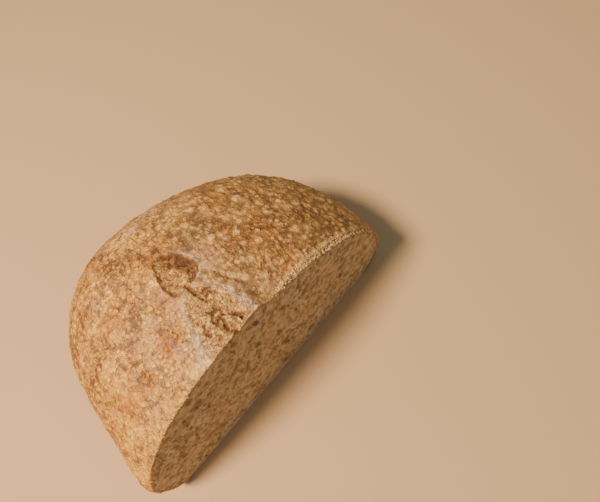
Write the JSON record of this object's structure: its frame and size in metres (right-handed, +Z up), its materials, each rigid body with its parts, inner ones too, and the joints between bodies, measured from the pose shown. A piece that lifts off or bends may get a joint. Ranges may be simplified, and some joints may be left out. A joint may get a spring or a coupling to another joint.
{
  "type": "bread loaf half",
  "caption": "Half of a round hearth loaf of paprika bread, cut side upright, with blistered golden-brown crust, an opened score on the crown and an open-pored golden crumb.",
  "frame": {"origin": "centre of the loaf's box on the plane it rests on", "axes": "+Z up, X along the cut, -Y out of the flat upright cut face, +Y toward the rounded back"},
  "size_m": [0.2033, 0.1148, 0.111],
  "materials": {
    "bread": "matt baked crust and crumb"
  },
  "bodies": {
    "root": {"bread_half": "bread"}
  },
  "joints": []
}
